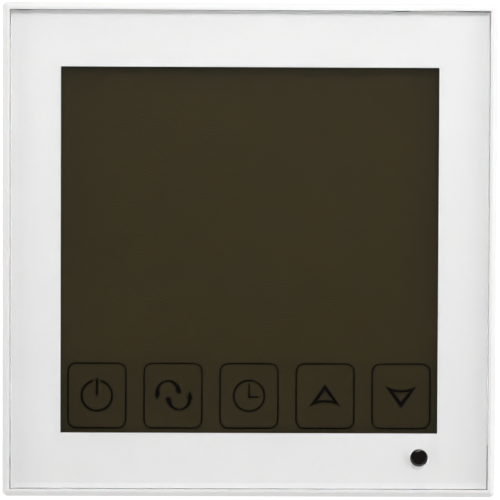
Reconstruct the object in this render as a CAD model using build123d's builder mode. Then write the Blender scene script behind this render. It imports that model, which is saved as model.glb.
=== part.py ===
"""Wall thermostat: a square glass-fronted touch controller that plugs onto a power unit held in a wall box.

Frame, in millimetres: +X to the right as the user sees it, +Z up, +Y into the wall. The origin is the centre
of the steel mounting plate's back face, which lies on the wall. The glass faces -Y.

The controller (glass, display, main board, back cover) pulls straight off towards -Y. The power unit (plate,
rear box, power board, terminals, relay) stays in the wall. Each terminal has a captive screw that turns in
place and lifts a clamping cage, and the relay has a hinged armature.
"""

import os

from build123d import *

os.makedirs("parts", exist_ok=True)

# ---------------------------------------------------------------- driving dimensions
unit_size = 86.0  # outer width and height of the square front
front_depth = 16.0  # wall to the face of the glass
fit_gap = 0.3  # clearance between pieces that move apart
slip_gap = 0.1  # clearance between pieces that stay together
thread_gap = 0.03  # radial clearance drawn between a screw and its own thread

# bezel
rim_flat = 0.45  # flat front face of the rim round the glass
rim_bevel = 0.8  # 45 degree bevel outside that flat
plan_corner = 0.9  # corner radius of the square outline
skirt_wall = 1.8  # side walls
shelf_thickness = 1.5  # ledge that carries the glass
vent_count, vent_pitch, vent_width, vent_length = 9, 3.4, 1.4, 6.0
pry_slot_width, pry_slot_depth = 9.0, 1.6

# glass and what is printed on and stuck to its back
panel_gap = 0.15  # joint line between glass and rim
glass_thickness = 1.1
glass_bevel_width, glass_bevel_depth = 1.1, 0.22  # polished edge
window_width, window_height = 65.8, 63.8
print_thickness = 0.1
tape_thickness = 0.5
sensor_film_thickness = 0.2

# touch keys, printed along the foot of the window
key_count, key_end_margin = 5, 1.16  # clear window beyond the outermost keys
key_width, key_height, key_corner, key_line = 10.4, 11.6, 1.6, 0.31
key_rise = 6.5  # from the window's lower edge to the middle of the keys

# remote-control receiver, in the white band below the window
receiver_x, receiver_z = 29.7, -36.1
lens_radius, lens_gap, lens_recess = 1.5, 0.05, 0.25

# display
display_gap = 1.7  # air between touch film and display
display_margin = 1.6  # display glass beyond the window on each side
display_ledge = 2.8  # rear glass beyond the front glass, for the pins
polariser_thickness, cell_glass_thickness = 0.2, 1.1
film_thickness, light_guide_thickness = 0.2, 2.6
holder_wall, holder_floor = 1.0, 0.8
pin_pitch, pin_width, pin_thickness, pin_end_margin = 2.0, 0.5, 0.3, 5.0

# boards
board_thickness = 1.6
solder_length = 0.7  # leads stand this far out of a board

# controller's back cover
cover_thickness = 1.4
cover_wall_gap = 0.2  # cover to mounting plate
pan_size, pan_depth = 43.0, 1.9  # middle of the cover, which dips into the rear box
cover_screw_radius, cover_screw_head, cover_screw_head_height = 1.0, 1.9, 1.2
board_screw_radius, board_screw_head, board_screw_head_height = 1.0, 1.8, 1.1

# mounting plate
plate_inset, plate_thickness, plate_corner = 3.0, 1.2, 6.0  # inset from the bezel's inner walls
wall_screw_spacing, slot_width, slot_length = 60.3, 4.4, 7.0
wall_screw_head = 5.2  # radius left clear for the head of a wall screw
tab_width, tab_length, tab_screw_depth = 7.0, 13.5, 10.0
tab_heights = (15.0, -9.0)
box_screw_radius, box_screw_head, box_screw_head_height = 1.1, 2.1, 1.4

# retaining springs
spring_x, spring_width, spring_thickness = 22.0, 9.0, 0.4
spring_foot = 5.0  # length of the foot on the plate
rivet_radius, rivet_head, rivet_head_height = 1.0, 1.7, 0.35
spring_wall_gap = 0.6  # from the bezel's wall to the middle of the blade's bow
catch_height = 1.0  # rib on the bezel that a spring holds

# rear box
box_size, box_depth, box_wall, box_corner = 49.2, 25.0, 1.6, 2.0
lid_depth, lid_thickness = 0.9, 1.4
power_board_depth = 5.0
divider_thickness = 1.2

# plug and socket between the two boards
contact_count, contact_pitch, contact_pin = 8, 2.54, 0.64
plug_z, plug_body, plug_height, socket_height = 14.0, 2.5, 2.5, 4.4
pin_reach = 3.8  # depth of the pins' tips

# terminals
terminal_count, terminal_pitch = 6, 7.62
terminal_depth, terminal_height = 12.2, 16.2  # along the wire, and along the screw
port_width, port_height, port_wall = 4.6, 4.7, 1.8
cage_inside, cage_wall, cage_length = 4.4, 0.75, 6.0
cage_foot, cage_opening, cage_head = 0.9, 5.35, 1.45
cage_travel = 3.7
bar_width, bar_thickness = 3.8, 0.8
clamp_screw_radius, clamp_screw_head, clamp_screw_head_height = 1.5, 2.6, 1.8

# relay
relay_length, relay_width, relay_height, relay_shell = 29.0, 12.7, 15.7, 0.8
relay_x, relay_z = -6.5, 15.7
armature_thickness, armature_gap = 1.2, 0.5

# ---------------------------------------------------------------- depths, worked out from the front to the back
half = unit_size / 2
front = -front_depth
glass_back = front + glass_thickness
print_back = glass_back + print_thickness
shelf_front = print_back + tape_thickness
shelf_back = shelf_front + shelf_thickness
sensor_back = print_back + sensor_film_thickness
display_front = sensor_back + display_gap
front_glass_front = display_front + polariser_thickness
rear_glass_front = front_glass_front + cell_glass_thickness
rear_glass_back = rear_glass_front + cell_glass_thickness
display_back = rear_glass_back + polariser_thickness
guide_front = display_back + film_thickness
guide_back = guide_front + light_guide_thickness
reflector_back = guide_back + film_thickness
board_front = reflector_back + holder_floor
board_back = board_front + board_thickness
plate_front = -plate_thickness
cover_back = plate_front - cover_wall_gap
cover_front = cover_back - cover_thickness
pan_back = cover_back + pan_depth
skirt_back = -fit_gap

# ---------------------------------------------------------------- sizes across the front
pocket = unit_size - 2 * (rim_flat + rim_bevel)
glass_size = pocket - 2 * panel_gap
cavity = unit_size - 2 * skirt_wall
plate_size = cavity - 2 * plate_inset
display_width = window_width + 2 * display_margin
display_height = window_height + 2 * display_margin
display_top = display_height / 2 + display_ledge
display_low = -display_height / 2
display_middle = (display_top + display_low) / 2
holder_inside_width = display_width + 4 * slip_gap
holder_top = display_top + 0.8
holder_low = display_low - 2 * slip_gap
holder_middle = (holder_top + holder_low) / 2
holder_inside_height = holder_top - holder_low
boss_radius = 2.6
boss_at = cavity / 2 - boss_radius
board_post_radius = 2.2
board_post_x = holder_inside_width / 2 + holder_wall + board_post_radius + slip_gap
board_post_z = 20.0
board_size = cavity - 2 * 0.6
board_notch = 2 * boss_radius + 0.4
pin_count = int((display_width - 2 * pin_end_margin) / pin_pitch) + 1
key_z = -window_height / 2 + key_rise
key_pitch = (window_width - key_width - 2 * key_end_margin) / (key_count - 1)
key_xs = [(i - (key_count - 1) / 2) * key_pitch for i in range(key_count)]
contact_xs = [(i - (contact_count - 1) / 2) * contact_pitch for i in range(contact_count)]
terminal_xs = [(i - (terminal_count - 1) / 2) * terminal_pitch for i in range(terminal_count)]

# rear box and terminals
box_half = box_size / 2
box_inside = box_size - 2 * box_wall
opening_half = box_half + fit_gap
power_board_back = power_board_depth + board_thickness
power_board_size = box_inside - 2 * fit_gap
terminal_face = -box_half + 0.2  # z of the face with the wire ports
terminal_rear = terminal_face + terminal_depth
terminal_back = power_board_back + terminal_height
divider_z = terminal_rear + fit_gap
cage_foot_y = power_board_back + 0.9
cage_floor_y = cage_foot_y + cage_foot
cage_head_y = cage_floor_y + cage_opening
cage_top_y = cage_head_y + cage_head
bar_back = cage_head_y - 0.25
bar_front = bar_back - bar_thickness
cage_low_z = terminal_face + port_wall + 0.4
cage_high_z = cage_low_z + cage_length
bar_end_z = terminal_rear - 1.4
cavity_top_y = cage_top_y + cage_travel + slip_gap
head_seat_y = cavity_top_y + 0.8

parts = {}


def facing(y):
    """The plane at depth y, parallel to the wall: x to the right, z up, and its normal towards the user."""
    return Plane.XZ.offset(-y)


def block(xs, ys, zs, mode=Mode.ADD):
    """Adds to the open part a box that spans three (low, high) ranges."""
    middle = tuple((low + high) / 2 for low, high in (xs, ys, zs))
    with Locations(middle):
        Box(xs[1] - xs[0], ys[1] - ys[0], zs[1] - zs[0], mode=mode)


def rod(x, z, y_low, y_high, radius, mode=Mode.ADD):
    """Adds to the open part a cylinder along Y at (x, z)."""
    with Locations((x, (y_low + y_high) / 2, z)):
        Cylinder(radius, y_high - y_low, rotation=(90, 0, 0), mode=mode)


def keep(builder, name):
    """Labels a finished piece and writes its STEP file."""
    builder.part.label = name
    parts[name] = builder.part
    export_step(builder.part, f"parts/{name}.step")


def four(x, z):
    """The four points (+-x, +-z)."""
    return [(sx * x, sz * z) for sx in (-1, 1) for sz in (-1, 1)]


# ================================================================ controller
# ---- bezel: rim, ledge, side walls, screw bosses, vents, catches for the springs
with BuildPart() as front_bezel:
    with BuildSketch(facing(skirt_back)):
        RectangleRounded(unit_size, unit_size, plan_corner)
    extrude(amount=skirt_back - front)
    chamfer(front_bezel.faces().sort_by(Axis.Y)[0].edges(), rim_bevel)
    with BuildSketch(facing(shelf_front)):
        Rectangle(pocket, pocket)
    extrude(amount=shelf_front - front, mode=Mode.SUBTRACT)
    with BuildSketch(facing(skirt_back)):
        Rectangle(cavity, cavity)
    extrude(amount=skirt_back - shelf_back, mode=Mode.SUBTRACT)
    # opening that the display looks through, with a notch for the touch film's tail
    with BuildSketch(facing(shelf_back)):
        with Locations((0, display_middle)):
            Rectangle(display_width + 8 * slip_gap, display_top - display_low + 8 * slip_gap)
        with Locations((-15.0, display_low - 1.2)):
            Rectangle(16.0, 3.0)
    extrude(amount=shelf_thickness, mode=Mode.SUBTRACT)
    # corner bosses for the cover screws and side posts for the board screws
    with BuildSketch(facing(cover_front - 1.6)):
        with Locations(*four(boss_at, boss_at)):
            Circle(boss_radius)
    extrude(amount=cover_front - 1.6 - shelf_back)
    with BuildSketch(facing(board_front)):
        with Locations(*four(board_post_x, board_post_z)):
            Circle(board_post_radius)
    extrude(amount=board_front - shelf_back)
    with BuildSketch(facing(cover_front - 1.6)):
        with Locations(*four(boss_at, boss_at)):
            Circle(cover_screw_radius + thread_gap)
    extrude(amount=5.5, mode=Mode.SUBTRACT)
    with BuildSketch(facing(board_front)):
        with Locations(*four(board_post_x, board_post_z)):
            Circle(board_screw_radius + thread_gap)
    extrude(amount=4.0, mode=Mode.SUBTRACT)
    # vents in the top and bottom walls
    for side in (-1, 1):
        for i in range(vent_count):
            x = (i - (vent_count - 1) / 2) * vent_pitch
            block(
                (x - vent_width / 2, x + vent_width / 2),
                (board_back - vent_length, board_back),
                (side * half - skirt_wall - 0.2, side * half + skirt_wall + 0.2),
                mode=Mode.SUBTRACT,
            )
    # notch for a screwdriver in the lower edge
    block(
        (-pry_slot_width / 2, pry_slot_width / 2),
        (skirt_back - pry_slot_depth, skirt_back + 1),
        (-half - 1, -cavity / 2 + 0.5),
        mode=Mode.SUBTRACT,
    )
    # seat for the receiver lens, through the ledge
    rod(receiver_x, receiver_z, shelf_front - 0.1, shelf_back + 0.1, lens_radius + 0.3, mode=Mode.SUBTRACT)
    # a catch rib behind each retaining spring
    for sx in (-1, 1):
        for sz in (-1, 1):
            with BuildSketch(Plane.YZ.offset(sx * spring_x - spring_width / 2)):
                with BuildLine():
                    Polyline(
                        (plate_front - 1.7, sz * (cavity / 2 + 0.1)),
                        (plate_front - 1.7, sz * cavity / 2),
                        (plate_front - 1.0, sz * (cavity / 2 - catch_height)),
                        (plate_front - 0.3, sz * cavity / 2),
                        (plate_front - 0.3, sz * (cavity / 2 + 0.1)),
                        close=True,
                    )
                make_face()
            extrude(amount=spring_width)
keep(front_bezel, "front_bezel")

# ---- glass with a polished edge and a hole for the receiver
with BuildPart() as glass_panel:
    with BuildSketch(facing(glass_back)):
        Rectangle(glass_size, glass_size)
        with Locations((receiver_x, receiver_z)):
            Circle(lens_radius + lens_gap, mode=Mode.SUBTRACT)
    extrude(amount=glass_thickness)
    glass_face = glass_panel.faces().sort_by(Axis.Y)[0]
    chamfer(glass_face.outer_wire().edges(), glass_bevel_width, glass_bevel_depth, reference=glass_face)
keep(glass_panel, "glass_panel")

# ---- white print on the back of the glass, open at the window
with BuildPart() as panel_mask_print:
    with BuildSketch(facing(print_back)):
        Rectangle(glass_size, glass_size)
        Rectangle(window_width, window_height, mode=Mode.SUBTRACT)
        with Locations((receiver_x, receiver_z)):
            Circle(lens_radius + lens_gap, mode=Mode.SUBTRACT)
    extrude(amount=print_thickness)
keep(panel_mask_print, "panel_mask_print")


# ---- black key frames and symbols
def power_symbol():
    """A ring that is open at the top, with a bar through the gap."""
    with BuildSketch() as art:
        Circle(2.86)
        Circle(2.46, mode=Mode.SUBTRACT)
        with Locations((0, 2.7)):
            Rectangle(1.2, 1.4, mode=Mode.SUBTRACT)
        with Locations((0, 1.5)):
            Rectangle(0.45, 3.0)
    return art.sketch


def mode_symbol():
    """Two crescent arrows that chase each other."""
    with BuildSketch() as crescent:
        with BuildLine():
            ThreePointArc((-3.08, 0.7), (-0.8, 2.75), (1.45, 0.42))
            Line((1.45, 0.42), (0.75, 0.42))
            Line((0.75, 0.42), (0.5, 0.7))
            ThreePointArc((0.5, 0.7), (-0.8, 2.38), (-2.38, 0.7))
            Line((-2.38, 0.7), (-3.08, 0.7))
        make_face()
        with BuildLine():
            Polyline((-3.35, 0.7), (-2.1, 0.7), (-2.72, -0.8), close=True)
        make_face()
    with BuildSketch() as art:
        add(crescent.sketch)
        with Locations((0.2, 0.16)):
            add(crescent.sketch, rotation=180)
    return art.sketch


def clock_symbol():
    """A dial with its hands at three o'clock."""
    with BuildSketch() as art:
        Circle(2.86)
        Circle(2.52, mode=Mode.SUBTRACT)
        with BuildLine():
            Polyline(
                (-0.16, -0.38),
                (-0.16, 1.9),
                (0.0, 2.15),
                (0.16, 1.9),
                (0.16, -0.02),
                (1.5, -0.02),
                (1.75, -0.2),
                (1.5, -0.38),
                close=True,
            )
        make_face()
    return art.sketch


def arrow_symbol(way):
    """An open arrowhead with a bowed base, upright (way 1) or inverted (way -1)."""
    with BuildSketch() as art:
        with BuildLine():
            Line((0, way * 2.12), (-2.93, way * -2.05))
            ThreePointArc((-2.93, way * -2.05), (0, way * -1.1), (2.93, way * -2.05))
            Line((2.93, way * -2.05), (0, way * 2.12))
        make_face()
        with BuildLine():
            Line((0, way * 0.95), (-1.38, way * -0.8))
            ThreePointArc((-1.38, way * -0.8), (0, way * -0.65), (1.38, way * -0.8))
            Line((1.38, way * -0.8), (0, way * 0.95))
        make_face(mode=Mode.SUBTRACT)
    return art.sketch


drawings = [power_symbol(), mode_symbol(), clock_symbol(), arrow_symbol(1), arrow_symbol(-1)]
with BuildPart() as key_legend_print:
    for x, drawing in zip(key_xs, drawings):
        with BuildSketch(Plane(origin=(x, print_back, key_z), x_dir=(1, 0, 0), z_dir=(0, -1, 0))):
            RectangleRounded(key_width, key_height, key_corner)
            RectangleRounded(
                key_width - 2 * key_line, key_height - 2 * key_line, key_corner - key_line, mode=Mode.SUBTRACT
            )
            add(drawing)
        extrude(amount=print_thickness)
keep(key_legend_print, "key_legend_print")

# ---- foam tape that holds the glass on its ledge
tape_width = 2.6
with BuildPart() as panel_tape:
    with BuildSketch(facing(shelf_front)):
        Rectangle(pocket - 0.6, pocket - 0.6)
        Rectangle(pocket - 0.6 - 2 * tape_width, pocket - 0.6 - 2 * tape_width, mode=Mode.SUBTRACT)
    extrude(amount=tape_thickness)
keep(panel_tape, "panel_tape")

# ---- clear touch film behind the window, whose tail folds back to the board
film_half_height = window_height / 2 + 0.9
tail_x, tail_width = -15.0, 12.0
tail_z = holder_low - holder_wall - 0.35
tail_end = board_front - 1.0
with BuildPart() as touch_sensor_film:
    with BuildSketch(facing(sensor_back)):
        Rectangle(window_width + 2.4, 2 * film_half_height)
    extrude(amount=sensor_film_thickness)
    with BuildSketch(Plane.YZ.offset(tail_x - tail_width / 2)):
        with BuildLine() as tail_line:
            FilletPolyline(
                (sensor_back - sensor_film_thickness / 2, -film_half_height + 0.2),
                (sensor_back - sensor_film_thickness / 2, tail_z),
                (tail_end, tail_z),
                radius=0.5,
            )
        trace(line_width=sensor_film_thickness)
    extrude(amount=tail_width)
keep(touch_sensor_film, "touch_sensor_film")

# ---- dark plug in the receiver hole, flanged behind the ledge
with BuildPart() as receiver_lens:
    rod(receiver_x, receiver_z, front + lens_recess, shelf_back, lens_radius)
    fillet(receiver_lens.faces().sort_by(Axis.Y)[0].edges(), 0.35)
    block(
        (receiver_x - lens_radius - 0.9, receiver_x + lens_radius + 0.9),
        (shelf_back, shelf_back + 0.8),
        (receiver_z - lens_radius - 0.8, holder_low - holder_wall - 0.2),
    )
keep(receiver_lens, "receiver_lens")

# ---- display: two glass plates, two polarisers, a row of pins along the top
with BuildPart() as lcd_cell:
    block(
        (-display_width / 2, display_width / 2),
        (front_glass_front, rear_glass_front),
        (display_low, display_height / 2),
    )
    block((-display_width / 2, display_width / 2), (rear_glass_front, rear_glass_back), (display_low, display_top))
keep(lcd_cell, "lcd_cell")

with BuildPart() as lcd_polarisers:
    for y in (front_glass_front, display_back):
        with BuildSketch(facing(y)):
            Rectangle(display_width - 0.8, display_height - 0.8)
        extrude(amount=polariser_thickness)
keep(lcd_polarisers, "lcd_polarisers")

with BuildPart() as lcd_pins:
    for i in range(pin_count):
        x = (i - (pin_count - 1) / 2) * pin_pitch
        with BuildSketch(Plane.YZ.offset(x - pin_width / 2)):
            with BuildLine():
                Polyline(
                    (rear_glass_front, display_top - 1.4),
                    (rear_glass_front - 0.2, display_top - 1.4),
                    (rear_glass_front - 0.2, display_top + pin_thickness),
                    (board_back + solder_length, display_top + pin_thickness),
                    (board_back + solder_length, display_top),
                    (rear_glass_front, display_top),
                    close=True,
                )
            make_face()
        extrude(amount=pin_width)
keep(lcd_pins, "lcd_pins")

# ---- white tray that holds the display and its backlight on the board
tray_front = shelf_back + 2 * slip_gap
led_count, led_pitch, led_length, led_height, led_depth = 4, 16.0, 3.2, 1.6, 1.0
led_y = (guide_front + guide_back) / 2
with BuildPart() as lcd_holder:
    with BuildSketch(facing(board_front)):
        with Locations((0, holder_middle)):
            Rectangle(holder_inside_width + 2 * holder_wall, holder_inside_height + 2 * holder_wall)
    extrude(amount=board_front - tray_front)
    with BuildSketch(facing(reflector_back)):
        with Locations((0, holder_middle)):
            Rectangle(holder_inside_width, holder_inside_height)
    extrude(amount=reflector_back - tray_front, mode=Mode.SUBTRACT)
    # slot for the display's pins
    block(
        (-(pin_count * pin_pitch) / 2, (pin_count * pin_pitch) / 2),
        (reflector_back - 0.1, board_front + 0.1),
        (display_top - 0.1, holder_top),
        mode=Mode.SUBTRACT,
    )
    # a pocket for each side light in the left wall
    for i in range(led_count):
        z = (i - (led_count - 1) / 2) * led_pitch
        block(
            (-holder_inside_width / 2 - holder_wall - 0.1, -holder_inside_width / 2 + 0.1),
            (guide_front + 0.1, board_front + 0.1),
            (z - led_length / 2 - slip_gap, z + led_length / 2 + slip_gap),
            mode=Mode.SUBTRACT,
        )
keep(lcd_holder, "lcd_holder")

with BuildPart() as backlight_films:
    for y in (guide_front, reflector_back):
        with BuildSketch(facing(y)):
            Rectangle(display_width, display_height)
        extrude(amount=film_thickness)
keep(backlight_films, "backlight_films")

with BuildPart() as light_guide:
    with BuildSketch(facing(guide_back)):
        Rectangle(display_width, display_height)
    extrude(amount=light_guide_thickness)
keep(light_guide, "light_guide")

with BuildPart() as backlight_leds:
    for i in range(led_count):
        z = (i - (led_count - 1) / 2) * led_pitch
        block(
            (-display_width / 2 - slip_gap - led_depth, -display_width / 2 - slip_gap),
            (led_y - led_height / 2, board_front),
            (z - led_length / 2, z + led_length / 2),
        )
keep(backlight_leds, "backlight_leds")

# ---- main board, its screws and what is on it
with BuildPart() as main_board:
    with BuildSketch(facing(board_back)):
        Rectangle(board_size, board_size)
        notch_at = board_size / 2 - board_notch / 2
        with Locations(*four(notch_at, notch_at)):
            Rectangle(board_notch, board_notch, mode=Mode.SUBTRACT)
        with Locations(*four(board_post_x, board_post_z)):
            Circle(board_screw_radius + slip_gap, mode=Mode.SUBTRACT)
        with Locations((0, display_top + pin_thickness / 2)):
            with GridLocations(pin_pitch, 0, pin_count, 1):
                Circle(pin_width / 2 + slip_gap, mode=Mode.SUBTRACT)
        with Locations((0, plug_z)):
            with GridLocations(contact_pitch, 0, contact_count, 1):
                Circle(contact_pin / 2 + 0.2, mode=Mode.SUBTRACT)
    extrude(amount=board_thickness)
keep(main_board, "main_board")

with BuildPart() as board_screws:
    for x, z in four(board_post_x, board_post_z):
        rod(x, z, board_front - 3.6, board_back, board_screw_radius)
        rod(x, z, board_back, board_back + board_screw_head_height, board_screw_head)
        rod(x, z, board_back + 0.5, board_back + board_screw_head_height, 0.6, mode=Mode.SUBTRACT)
keep(board_screws, "board_screws")


def leaded_chip(x, z, width, height, thickness, leads, pitch, on_all_sides):
    """A moulded chip on the back of the main board, with its leads let into it."""
    block((x - width / 2, x + width / 2), (board_back + 0.1, board_back + thickness), (z - height / 2, z + height / 2))
    for i in range(leads):
        at = (i - (leads - 1) / 2) * pitch
        block(
            (x + at - 0.15, x + at + 0.15),
            (board_back, board_back + 0.5),
            (z - height / 2 - 0.9, z + height / 2 + 0.9),
        )
        if on_all_sides:
            block(
                (x - width / 2 - 0.9, x + width / 2 + 0.9),
                (board_back, board_back + 0.5),
                (z + at - 0.15, z + at + 0.15),
            )


with BuildPart() as control_chips:
    leaded_chip(-10.0, 2.5, 7.0, 7.0, 1.4, 12, 0.5, True)
    leaded_chip(8.0, 5.0, 9.9, 3.9, 1.5, 8, 1.27, False)
    leaded_chip(-1.0, -13.5, 4.9, 3.9, 1.5, 4, 1.27, False)
keep(control_chips, "control_chips")

with BuildPart() as small_components:
    # clock crystal
    block((-1.6, 1.6), (board_back, board_back + 1.2), (-5.5, -4.0))
    # two rows of chip resistors and capacitors
    for i in range(9):
        x = -18.0 + 4.5 * i
        block((x - 1.0, x + 1.0), (board_back, board_back + 0.6), (-20.0, -18.8))
        block((x - 1.0, x + 1.0), (board_back, board_back + 0.9), (9.4, 10.6))
    # socket for the touch film's tail, on the front of the board
    block(
        (tail_x - tail_width / 2 - 1.2, tail_x + tail_width / 2 + 1.2),
        (tail_end, board_front),
        (tail_z - 2.0, tail_z + 0.25),
    )
keep(small_components, "small_components")

with BuildPart() as buzzer:
    rod(13.0, -9.5, board_back, board_back + 3.4, 4.8)
    rod(13.0, -9.5, board_back + 2.6, board_back + 3.4, 1.1, mode=Mode.SUBTRACT)
keep(buzzer, "buzzer")

with BuildPart() as coin_cell:
    rod(-11.5, -11.0, board_back + 0.5, board_back + 2.6, 6.25)
    fillet(coin_cell.edges().filter_by(GeomType.CIRCLE), 0.3)
    # solder tabs under and over the cell
    block((-13.5, -9.5), (board_back, board_back + 0.5), (-13.0, -9.0))
    block((-19.2, -8.0), (board_back + 2.6, board_back + 2.8), (-12.0, -10.0))
    block((-19.4, -19.2), (board_back, board_back + 2.8), (-12.0, -10.0))
keep(coin_cell, "coin_cell")

with BuildPart() as ir_receiver:
    can_front = shelf_back + 1.9
    block(
        (receiver_x - 2.5, receiver_x + 2.5),
        (can_front, board_front),
        (receiver_z - 2.5, holder_low - holder_wall - 0.2),
    )
    rod(receiver_x, receiver_z - 0.6, can_front - 0.7, can_front, 1.6)
keep(ir_receiver, "ir_receiver")

sensor_z = -cavity / 2 + 3.0  # in the air stream of the lower vents
with BuildPart() as temperature_sensor:
    with Locations((8.0, board_front - 3.2, sensor_z)):
        Sphere(1.3)
    for x in (7.4, 8.6):
        block((x - 0.2, x + 0.2), (board_front - 2.6, board_front), (sensor_z - 0.2, sensor_z + 0.2))
keep(temperature_sensor, "temperature_sensor")

with BuildPart() as board_header:
    block(
        (-contact_count * contact_pitch / 2, contact_count * contact_pitch / 2),
        (board_back, board_back + plug_height),
        (plug_z - plug_body / 2, plug_z + plug_body / 2),
    )
    for x in contact_xs:
        block(
            (x - contact_pin / 2, x + contact_pin / 2),
            (board_back - 0.1, board_back + plug_height + 0.1),
            (plug_z - contact_pin / 2, plug_z + contact_pin / 2),
            mode=Mode.SUBTRACT,
        )
keep(board_header, "board_header")

with BuildPart() as header_pins:
    for x in contact_xs:
        block(
            (x - contact_pin / 2, x + contact_pin / 2),
            (board_front, pin_reach),
            (plug_z - contact_pin / 2, plug_z + contact_pin / 2),
        )
    chamfer(header_pins.faces().filter_by(Axis.Y).group_by(Axis.Y)[-1].edges(), 0.15)
keep(header_pins, "header_pins")

# ---- back cover of the controller
cover_size = cavity - 2 * fit_gap
with BuildPart() as back_cover:
    with BuildSketch(facing(cover_back)):
        Rectangle(cover_size, cover_size)
    extrude(amount=cover_thickness)
    with BuildSketch(facing(pan_back)):
        RectangleRounded(pan_size, pan_size, 2.0)
    extrude(amount=pan_back - cover_front)
    with BuildSketch(facing(pan_back - 1.2)):
        RectangleRounded(pan_size - 2.4, pan_size - 2.4, 0.8)
    extrude(amount=pan_back - 1.2 - cover_front, mode=Mode.SUBTRACT)
    with BuildSketch(facing(cover_front)):
        with Locations(*four(boss_at, boss_at)):
            Circle(boss_radius - 0.2)
    extrude(amount=1.6)
    # screw holes, countersunk flat from the back
    with BuildSketch(facing(cover_back)):
        with Locations(*four(boss_at, boss_at)):
            Circle(cover_screw_radius + slip_gap)
    extrude(amount=cover_thickness + 1.6, mode=Mode.SUBTRACT)
    with BuildSketch(facing(cover_back)):
        with Locations(*four(boss_at, boss_at)):
            Circle(cover_screw_head + 0.2)
    extrude(amount=cover_screw_head_height + 0.2, mode=Mode.SUBTRACT)
    # holes over the wall screws, notches round the springs, the plug's aperture
    with BuildSketch(facing(cover_back)):
        with Locations((-wall_screw_spacing / 2, 0), (wall_screw_spacing / 2, 0)):
            SlotOverall(2 * wall_screw_head + slot_length - slot_width, 2 * wall_screw_head)
        with Locations(*four(spring_x, cover_size / 2 - 4.0)):
            Rectangle(spring_width + 3.0, 8.4)
    extrude(amount=cover_thickness, mode=Mode.SUBTRACT)
    with BuildSketch(facing(pan_back)):
        with Locations((0, plug_z)):
            Rectangle(contact_count * contact_pitch + 1.2, plug_body + 1.2)
        # sound holes over the buzzer
        with Locations((13.0, -9.5)):
            Circle(1.0)
            with PolarLocations(2.8, 6):
                Circle(0.6)
    extrude(amount=1.2, mode=Mode.SUBTRACT)
    # air slots above and below the pan
    with BuildSketch(facing(cover_back)):
        for z in (-29.0, 29.0):
            with Locations((0, z)):
                with GridLocations(5.0, 0, 5, 1):
                    SlotOverall(8.0, 1.6, rotation=90)
    extrude(amount=cover_thickness, mode=Mode.SUBTRACT)
keep(back_cover, "back_cover")

with BuildPart() as cover_screws:
    seat = cover_back - cover_screw_head_height - 0.2
    for x, z in four(boss_at, boss_at):
        rod(x, z, cover_front - 6.4, seat, cover_screw_radius)
        rod(x, z, seat, seat + cover_screw_head_height, cover_screw_head)
        for size in ((2.4, 0.6), (0.6, 2.4)):
            with Locations((x, seat + cover_screw_head_height - 0.3, z)):
                Box(size[0], 0.7, size[1], mode=Mode.SUBTRACT)
keep(cover_screws, "cover_screws")

# ================================================================ power unit
# ---- steel plate that is screwed to the wall box, with four tabs that hold the rear box
tab_inner = opening_half
with BuildPart() as mounting_plate:
    with BuildSketch(facing(0)):
        RectangleRounded(plate_size, plate_size, plate_corner)
        Rectangle(2 * opening_half, 2 * opening_half, mode=Mode.SUBTRACT)
        with Locations((-wall_screw_spacing / 2, 0), (wall_screw_spacing / 2, 0)):
            SlotOverall(slot_length, slot_width, mode=Mode.SUBTRACT)
    extrude(amount=plate_thickness)
    for side in (-1, 1):
        for z in tab_heights:
            xs = sorted((side * tab_inner, side * (tab_inner + plate_thickness)))
            block(xs, (-plate_thickness / 2, tab_length), (z - tab_width / 2, z + tab_width / 2))
            with Locations((side * (tab_inner + plate_thickness / 2), tab_screw_depth, z)):
                Cylinder(box_screw_radius + 0.2, 2 * plate_thickness, rotation=(0, 90, 0), mode=Mode.SUBTRACT)
    # rivets formed up out of the plate, through the springs' feet
    rivet_z = plate_size / 2 - spring_foot / 2
    foot_front = plate_front - spring_thickness
    for x, z in four(spring_x, rivet_z):
        rod(x, z, foot_front - 0.1, plate_front, rivet_radius)
        rod(x, z, foot_front - rivet_head_height, foot_front, rivet_head)
keep(mounting_plate, "mounting_plate")

# ---- leaf springs: a foot on the plate, then a bowed blade that the bezel's rib snaps behind
with BuildPart() as retaining_springs:
    for sx in (-1, 1):
        for sz in (-1, 1):
            with BuildSketch(Plane.YZ.offset(sx * spring_x - spring_width / 2)):
                with BuildLine() as leaf_line:
                    FilletPolyline(
                        (plate_front - spring_thickness / 2, sz * (plate_size / 2 - spring_foot)),
                        (plate_front - spring_thickness / 2, sz * (plate_size / 2 + 0.3)),
                        (plate_front - 2.3, sz * (cavity / 2 - spring_wall_gap)),
                        (plate_front - 3.3, sz * (cavity / 2 - spring_wall_gap - 1.0)),
                        radius=0.45,
                    )
                trace(line_width=spring_thickness)
            extrude(amount=spring_width)
            rod(
                sx * spring_x,
                sz * rivet_z,
                foot_front - 0.1,
                plate_front + 0.1,
                rivet_radius + 0.05,
                mode=Mode.SUBTRACT,
            )
keep(retaining_springs, "retaining_springs")

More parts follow.
